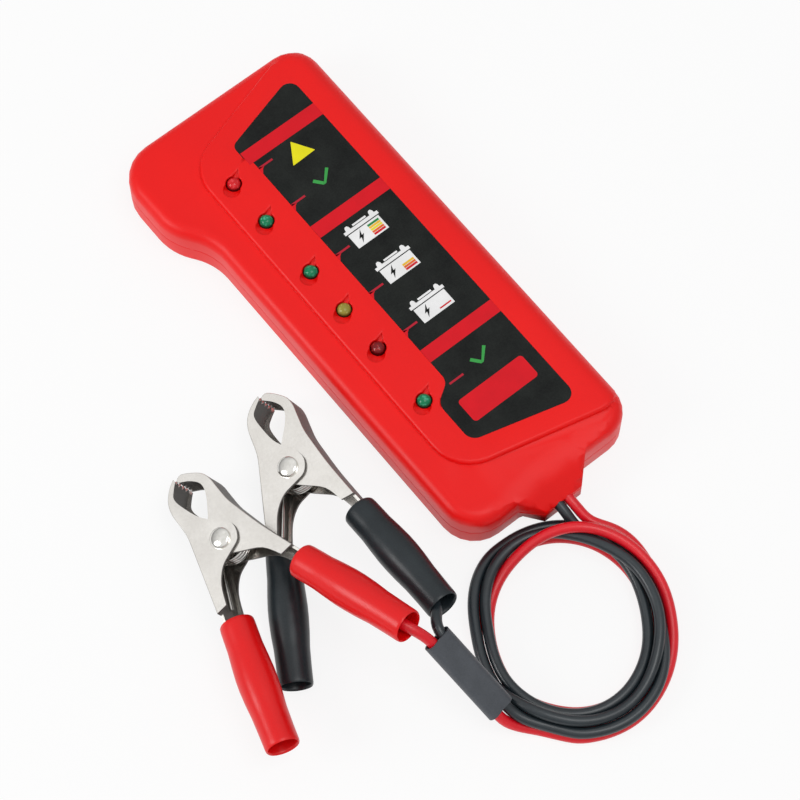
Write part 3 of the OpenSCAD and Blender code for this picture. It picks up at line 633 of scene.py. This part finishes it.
lens_r = lamp_d / 2
flange_r, flange_t = lens_r + 0.5, 1
lamp_outline = [
    (0, 0, lamp_flange_z), (flange_r, 0, lamp_flange_z),
    (flange_r, 0, lamp_flange_z + flange_t), (lens_r, 0, lamp_flange_z + flange_t),
]
lamp_outline += [
    (lens_r * math.cos(a), 0, lamp_dome_z + lens_r * math.sin(a)) for a in map(math.radians, range(0, 91, 9))
]
pin_l = lamp_flange_z - board_top
lenses = {}
for (node, colours), y in zip(lamp_lenses.items(), lamp_ys):
    bm = turned_body(lamp_outline, (0, 0, 1), 40, unit=MM)
    for side in (-1, 1):
        pin = bmesh.ops.create_cube(bm, size=MM)["verts"]
        bmesh.ops.scale(bm, verts=pin, vec=(pin_w, pin_w, pin_l))
        bmesh.ops.translate(bm, verts=pin, vec=Vector((side * pin_pitch / 2, 0, board_top + pin_l / 2)) * MM)
    bmesh.ops.recalc_face_normals(bm, faces=bm.faces)
    bmesh.ops.translate(bm, verts=bm.verts, vec=(lamp_x * MM, y * MM, 0))
    slot = slot_of[node]
    if slot not in lenses:
        lenses[slot] = lens_material(slot, *colours)
    stand_in(new_object(f"{node}_diode", bm, lenses[slot]), node)

# Inside. The board carries the comparator, its resistors, two capacitors and a diode, and is held
# by four screws. A plastic strip clamps the leads, and four screws hold the shells together.
screw_steel = finish_material(
    "screw_steel", (196, 196, 192), (150, 150, 146), 0.3, grain=0.2, drift=3, depth=0.004, Metallic=1.0,
)
inside = {
    "circuit_board": finish_material(
        "board", (28, 104, 58), (16, 78, 44), 0.35, grain=1.2, drift=7, depth=0.03,
    ),
    "comparator_chip": finish_material("chip", (40, 40, 42), (26, 26, 28), 0.55, grain=0.15, drift=3),
    "resistors": finish_material(
        "resistor", (206, 176, 128), (160, 96, 60), 0.4, grain=0.9, drift=2.4, depth=0.01,
    ),
    "capacitors": finish_material(
        "capacitor", (38, 44, 70), (26, 30, 52), 0.3, grain=0.3, drift=4, depth=0.006,
    ),
    "reverse_diode": finish_material(
        "diode", (44, 44, 46), (28, 28, 30), 0.4, grain=0.2, drift=3, depth=0.006,
    ),
    "solder_joints": finish_material(
        "solder", (202, 204, 206), (150, 152, 156), 0.25, grain=0.5, drift=2, depth=0.03, Metallic=1.0,
    ),
    "board_screws": screw_steel,
    "case_screws": screw_steel,
    "cord_clamp_screws": screw_steel,
    "cord_clamp": finish_material("clamp_plastic", (46, 46, 48), (32, 32, 34), 0.5, grain=0.4, drift=5),
}
for node, material in inside.items():
    paint(node, material)

# Clips. Each clip is two levers bent from nickel-plated sheet, nested on a rivet, with cheeks that
# stand on both sides of a spine. The cheeks are polished; the bent spine and cut edges are rougher
# and carry painted shade, a darker and less metallic colour.
clips = {
    "black": ((-53.8, -29, 10.1), (22, -4.4, -107.3)),
    "red": ((-83.6, -35.3, 12.5), (21.5, -11.1, -93)),
}
clip_w = 11.6
sheet = 0.8
lever_play = 0.15
handle_l = 17.5
handle_slope = math.radians(16.5)
wire_end, free_end = (handle_l, 15.2), (handle_l, -14.8)
spines = {
    "wire_lever": [
        (-25.4, 0.15), (-26, 2.6), (-22, 7.2), (-18.6, 8.6), (-14, 8.7), (-9, 8.8), (-4, 9.7), (5.5, 11.8),
        wire_end,
    ],
    "free_lever": [
        (-26, -0.15), (-24.9, -2.3), (-22.8, -4.7), (-20.4, -6.3), (-16.7, -7.2), (-9, -7.5), (-3, -9),
        (2, -10.4), free_end,
    ],
}
bend_r = 0.7
bend_reach = 0.45
# The colour of the painted shade on the spine and cut edges.
painted_shade_steel = (104, 101, 98)
clip_steel = finish_material(
    "clip_steel", (238, 235, 230), (226, 222, 216), 0.22, roughness_spread=0.08, grain=0.9, drift=11,
    depth=0.004, Metallic=1.0,
)
tree = clip_steel.node_tree
shader = tree.nodes["Principled BSDF"]
# Painted shade: faces that look across the rivet darken to the shade colour and lose metal, and they are also
# rougher.
dullness_and_shade = add_node(tree, "ShaderNodeAttribute", attribute_name="dullness_and_shade")
plating_and_shade = add_node(tree, "ShaderNodeMix", {
    0: dullness_and_shade.outputs["Fac"], 6: shader.inputs["Base Color"].links[0].from_socket,
    7: (*linear(painted_shade_steel), 1),
}, data_type="RGBA")
tree.links.new(plating_and_shade.outputs[2], shader.inputs["Base Color"])
shine = add_node(tree, "ShaderNodeMath", {
    0: dullness_and_shade.outputs["Fac"], 1: -0.75, 2: 1.0,
}, operation="MULTIPLY_ADD")
tree.links.new(shine.outputs[0], shader.inputs["Metallic"])
rough = add_node(tree, "ShaderNodeMath", {
    0: dullness_and_shade.outputs["Fac"], 1: 0.35, 2: shader.inputs["Roughness"].links[0].from_socket,
}, operation="MULTIPLY_ADD")
tree.links.new(rough.outputs[0], shader.inputs["Roughness"])


def clip_place(clip):
    """Turns a clip's own millimetres, with its rivet at the origin, into the frame's metres."""
    pivot, turn = clips[clip]
    turned = Euler([math.radians(a) for a in turn], "XYZ").to_matrix().to_4x4()
    return Matrix.Translation(Vector(pivot) * MM) @ turned @ Matrix.Scale(MM, 4)


def spine_gap(point, spine):
    """How far a point lies from a lever's spine, seen along the rivet."""
    gaps = []
    for a, b in zip(spine, spine[1:]):
        a, b = Vector(a), Vector(b)
        t = max(0, min(1, (point - a).dot(b - a) / (b - a).length_squared))
        gaps.append((point - a - t * (b - a)).length)
    return min(gaps)


for clip in clips:
    into_clip = clip_place(clip).inverted()
    for lever, spine in spines.items():
        node = f"{clip}_clip_{lever}"
        half = clip_w / 2 - (sheet + lever_play if lever == "wire_lever" else 0)
        bm = joined_copy(node)
        bmesh.ops.dissolve_limit(
            bm, angle_limit=math.radians(0.5), use_dissolve_boundaries=False, verts=bm.verts[:],
            edges=bm.edges[:], delimit=set(),
        )

        def is_bend(edge):
            """Whether an edge is the corner between a cheek and the spine."""
            ends = [into_clip @ v.co for v in edge.verts]
            middle = (ends[0] + ends[1]) / 2
            return all(abs(abs(p.z) - half) < 0.05 for p in ends) and spine_gap(middle.xy, spine) < bend_reach

        round_edges(bm, is_bend, bend_r, segments=4)
        # Marks the spine and cut edges, which look across the rivet, for painted shade and more roughness.
        across = clip_place(clip).to_3x3().col[2].normalized()
        dullness_and_shade_layer = bm.faces.layers.float.new("dullness_and_shade")
        for face in bm.faces:
            face[dullness_and_shade_layer] = 1 - abs(face.normal.dot(across))
        piece = new_object(f"{node}_plated", bm, clip_steel, smooth=30)
        even_shading(piece)
        stand_in(piece, node)

# Rivets. A bright steel rivet with a domed head on each side joins the levers.
rivet_r = 1.5
rivet_head_r, rivet_head_h, rivet_rim = 3.3, 1.4, 0.35
rivet_steel = finish_material(
    "rivet_steel", (232, 230, 226), (214, 212, 206), 0.12, roughness_spread=0.06, grain=0.8, drift=2,
    depth=0.008, Metallic=1.0,
)
seat = clip_w / 2 + 0.05
dome = rivet_head_h - rivet_rim
rivet_outline = [(0, 0, seat + rivet_head_h)]
rivet_outline += [
    (rivet_head_r * math.sin(a), 0, seat + rivet_rim + dome * math.cos(a))
    for a in map(math.radians, range(9, 91, 9))
]
rivet_outline += [(rivet_head_r, 0, seat), (rivet_r, 0, seat)]
rivet_outline += [(x, y, -z) for x, y, z in reversed(rivet_outline)]
for clip in clips:
    bm = turned_body(rivet_outline, (0, 0, 1), 48)
    bmesh.ops.recalc_face_normals(bm, faces=bm.faces)
    bmesh.ops.transform(bm, matrix=clip_place(clip), verts=bm.verts)
    stand_in(new_object(f"{clip}_clip_rivet_domed", bm, rivet_steel), f"{clip}_clip_rivet")

# Springs. A torsion spring of bright wire turns three and a half times round the rivet, and a leg
# lies behind each handle.
spring_wire = 1.4
spring_r = 5.8
spring_turns = 3.5
spring_steps = 126
spring_steel = finish_material(
    "spring_steel", (200, 198, 194), (160, 158, 154), 0.2, grain=0.5, drift=3, depth=0.006, Metallic=1.0,
)
spring_half = spring_turns * (spring_wire + 0.02) / 2
behind = 2 * math.tan(handle_slope) + (sheet + spring_wire / 2 + lever_play) / math.cos(handle_slope)
route = [(handle_l - 2, wire_end[1] - behind, spring_half), (0.5, spring_r, spring_half)]
for k in range(1, spring_steps):
    part = k / spring_steps
    a = math.radians(90 + 360 * spring_turns * part)
    route.append((spring_r * math.cos(a), spring_r * math.sin(a), spring_half * (1 - 2 * part)))
route += [(0.5, -spring_r, -spring_half), (handle_l - 2, free_end[1] + behind, -spring_half)]
for clip in clips:
    curve = bpy.data.curves.new(f"{clip}_spring_route", "CURVE")
    curve.dimensions = "3D"
    curve.bevel_depth = spring_wire / 2
    curve.bevel_resolution = 4
    curve.use_fill_caps = True
    spline = curve.splines.new("POLY")
    spline.points.add(len(route) - 1)
    for point, place in zip(spline.points, route):
        point.co = (*place, 1)
    former = bpy.data.objects.new(f"{clip}_spring_former", curve)
    bm = bmesh.new()
    bm.from_mesh(former.to_mesh())
    bpy.data.objects.remove(former)
    place = clip_place(clip)
    bmesh.ops.transform(bm, matrix=place, verts=bm.verts)
    piece = new_object(f"{clip}_clip_spring_wound", bm, spring_steel, smooth=60)
    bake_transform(piece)
    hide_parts(f"{clip}_clip_spring")

# Boots. Each handle wears a soft dipped-vinyl boot with a swell in its middle and an open mouth, and
# use has given every boot a slight bow.
boot_start, boot_l, boot_lift = 3, 41.5, 2.6
boot_bore = 8.7
boot_outline = [
    (0, 5.0), (0.35, 5.25), (1.4, 5.35), (8.3, 5.4), (13, 5.75), (17.4, 5.98), (20.8, 5.98), (25, 5.8),
    (29.9, 5.4), (36, 5.25), (40.6, 5.2), (41.2, 5.1), (41.5, 4.9),
]
bore = boot_bore / 2
boot_outline += [
    (boot_l - 0.2, bore + 0.25), (boot_l - 0.8, bore), (boot_l / 2, bore), (0.8, bore), (0.15, bore + 0.25),
    boot_outline[0],
]
boot_bow = 0.25
boot_skin = {"grain": 0.5, "drift": 14, "depth": 0.012}
boot_finish = {
    "black": finish_material(
        "black_boot", (38, 46, 50), (24, 30, 34), 0.34, Specular_IOR_Level=0.35, **boot_skin,
    ),
    "red": finish_material(
        "red_boot", (232, 12, 14), (222, 8, 12), 0.34, Specular_IOR_Level=0.4, **boot_skin,
    ),
}


def handle_place(clip, handle):
    """A handle's own frame: x along it from the end of the cheeks, and y outwards from the clip."""
    side = 1 if handle == "wire" else -1
    end = wire_end if handle == "wire" else free_end
    turned = Matrix.Rotation(side * handle_slope, 4, "Z")
    return clip_place(clip) @ Matrix.Translation((*end, 0)) @ turned @ Matrix.Diagonal((1, side, 1, 1))


for clip in clips:
    for handle in ("wire", "free"):
        bm = turned_body([(x, r, 0) for x, r in boot_outline], (1, 0, 0), 56)
        lengthwise = [e for e in bm.edges if abs(e.verts[0].co.x - e.verts[1].co.x) > 3]
        bmesh.ops.subdivide_edges(bm, edges=lengthwise, cuts=3, use_grid_fill=True)
        for v in bm.verts:
            t = v.co.x / boot_l
            v.co.y += boot_bow * 4 * t * (1 - t)
            v.co.x += boot_start
            v.co.y -= boot_lift
        bmesh.ops.transform(bm, matrix=handle_place(clip, handle), verts=bm.verts)
        bmesh.ops.recalc_face_normals(bm, faces=bm.faces)
        node = f"{clip}_clip_{handle}_boot"
        stand_in(new_object(f"{node}_soft", bm, boot_finish[clip], smooth=50), node)

# Crimps. A brass ferrule closes round each lead on its handle, inside the boot.
crimp_brass = finish_material(
    "crimp_brass", (202, 168, 96), (176, 140, 72), 0.3, grain=0.3, drift=2, depth=0.01, Metallic=1.0,
)
for clip in clips:
    paint(f"{clip}_clip_crimp", crimp_brass)

# Sleeve. A flat heat-shrink tube holds the two leads together where they part. It shows them as two
# faint ridges under a satin grey skin.
sleeve_low, sleeve_high = Vector((-52.7, -124.2, 9.4)), Vector((-57.7, -100.2, 27.5))
sleeve_w, sleeve_t, sleeve_l, sleeve_wall = 9.6, 4.8, 30, 0.5
sleeve_rings = 12
dip_half, dip_depth = 1.2, 0.35
sleeve_vinyl = finish_material(
    "sleeve_vinyl", (78, 82, 88), (62, 66, 72), 0.42, grain=0.5, drift=8, depth=0.02,
)
bm = bmesh.new()
ring = bmesh.ops.create_circle(bm, segments=64, radius=sleeve_t / 2 - 0.1)["verts"]
for v in ring:
    v.co.y += math.copysign((sleeve_w - sleeve_t) / 2, v.co.y) if abs(v.co.y) > 1e-6 else 0
for v in ring:
    if abs(v.co.y) < dip_half:
        v.co.x -= math.copysign(dip_depth, v.co.x)
edges = bm.edges[:]
for k in range(sleeve_rings):
    drawn = bmesh.ops.extrude_edge_only(bm, edges=edges)["geom"]
    edges = [e for e in drawn if isinstance(e, bmesh.types.BMEdge) and all(v in drawn for v in e.verts)]
    ring = [v for v in drawn if isinstance(v, bmesh.types.BMVert)]
    bmesh.ops.translate(bm, verts=ring, vec=(0, 0, sleeve_l / sleeve_rings))
bmesh.ops.recalc_face_normals(bm, faces=bm.faces)
bmesh.ops.solidify(bm, geom=bm.faces[:], thickness=sleeve_wall)
along = sleeve_high - sleeve_low
heading = math.atan2(along.y, along.x)
rise = math.asin(along.z / along.length)
lie = (
    Matrix.Translation(sleeve_low * MM) @ Matrix.Rotation(heading, 4, "Z")
    @ Matrix.Rotation(math.radians(90) - rise, 4, "Y") @ Matrix.Scale(MM, 4)
)
bmesh.ops.transform(bm, matrix=lie, verts=bm.verts)
stand_in(new_object("lead_sleeve_shrunk", bm, sleeve_vinyl, smooth=50), "lead_sleeve")

# Floor. A wide sheet of matt white paper, which the camera and every mirror and lens see nearly pure
# white, while it keeps the shadows.
bm = bmesh.new()
paper_half, paper_drop, paper_glow = 3, 0.02, 0.85
bmesh.ops.create_grid(bm, x_segments=1, y_segments=1, size=paper_half)
bmesh.ops.translate(bm, verts=bm.verts, vec=(0, 0, -paper_drop * MM))
paper = bpy.data.materials.new("floor_paper")
paper.use_nodes = True
tree = paper.node_tree
matt = tree.nodes["Principled BSDF"]
matt.inputs["Base Color"].default_value = (0.9, 0.9, 0.9, 1)
matt.inputs["Roughness"].default_value = 0.95
rays = add_node(tree, "ShaderNodeLightPath")
glow = add_node(tree, "ShaderNodeEmission", {"Color": (1, 1, 1, 1), "Strength": 1.0})
mirrored = add_node(tree, "ShaderNodeMath", {
    0: rays.outputs["Is Glossy Ray"], 1: rays.outputs["Is Transmission Ray"],
}, operation="MAXIMUM")
looked_at = add_node(tree, "ShaderNodeMath", {
    0: rays.outputs["Is Camera Ray"], 1: mirrored.outputs[0],
}, operation="MAXIMUM")
seen = add_node(tree, "ShaderNodeMath", {0: looked_at.outputs[0], 1: paper_glow}, operation="MULTIPLY")
lit = add_node(tree, "ShaderNodeMixShader", {0: seen.outputs[0], 1: matt.outputs[0], 2: glow.outputs[0]})
tree.links.new(lit.outputs[0], tree.nodes["Material Output"].inputs["Surface"])
new_object("floor", bm, paper)

# Studio. Two soft boxes and an even white room, which shows darker towards its walls in the steel.
world = bpy.data.worlds.new("studio")
world.use_nodes = True
bpy.context.scene.world = world
tree = world.node_tree
room = tree.nodes["Background"]
rays = add_node(tree, "ShaderNodeLightPath")
facing = add_node(tree, "ShaderNodeTexCoord")
axes = add_node(tree, "ShaderNodeSeparateXYZ", {"Vector": facing.outputs["Generated"]})
walls = add_node(tree, "ShaderNodeMapRange", {
    "Value": axes.outputs["Z"], "From Min": 0.1, "From Max": 0.75, "To Min": 0.35, "To Max": 1.0,
})
soft = add_node(tree, "ShaderNodeMix", {
    0: rays.outputs["Is Glossy Ray"], 2: 0.55, 3: walls.outputs[0],
}, data_type="FLOAT")
through = add_node(tree, "ShaderNodeMath", {
    0: rays.outputs["Is Camera Ray"], 1: rays.outputs["Is Transmission Ray"],
}, operation="MAXIMUM")
whole = add_node(tree, "ShaderNodeMath", {0: through.outputs[0], 1: soft.outputs[0]}, operation="MAXIMUM")
room.inputs["Color"].default_value = (1, 1, 1, 1)
tree.links.new(whole.outputs[0], room.inputs["Strength"])


def soft_box(name, place, size, power):
    """A round soft box that faces the tester."""
    data = bpy.data.lights.new(name, "AREA")
    data.shape = "DISK"
    data.size = size
    data.energy = power
    lamp = bpy.data.objects.new(name, data)
    lamp.location = place
    lamp.rotation_euler = (view_target - Vector(place)).to_track_quat("-Z", "Y").to_euler()
    bpy.context.collection.objects.link(lamp)


soft_box("side_box", (-0.9, 0.33, 0.6), 0.5, 3.7)
soft_box("ceiling_box", (0.1, -0.4, 1.3), 0.8, 4.6)
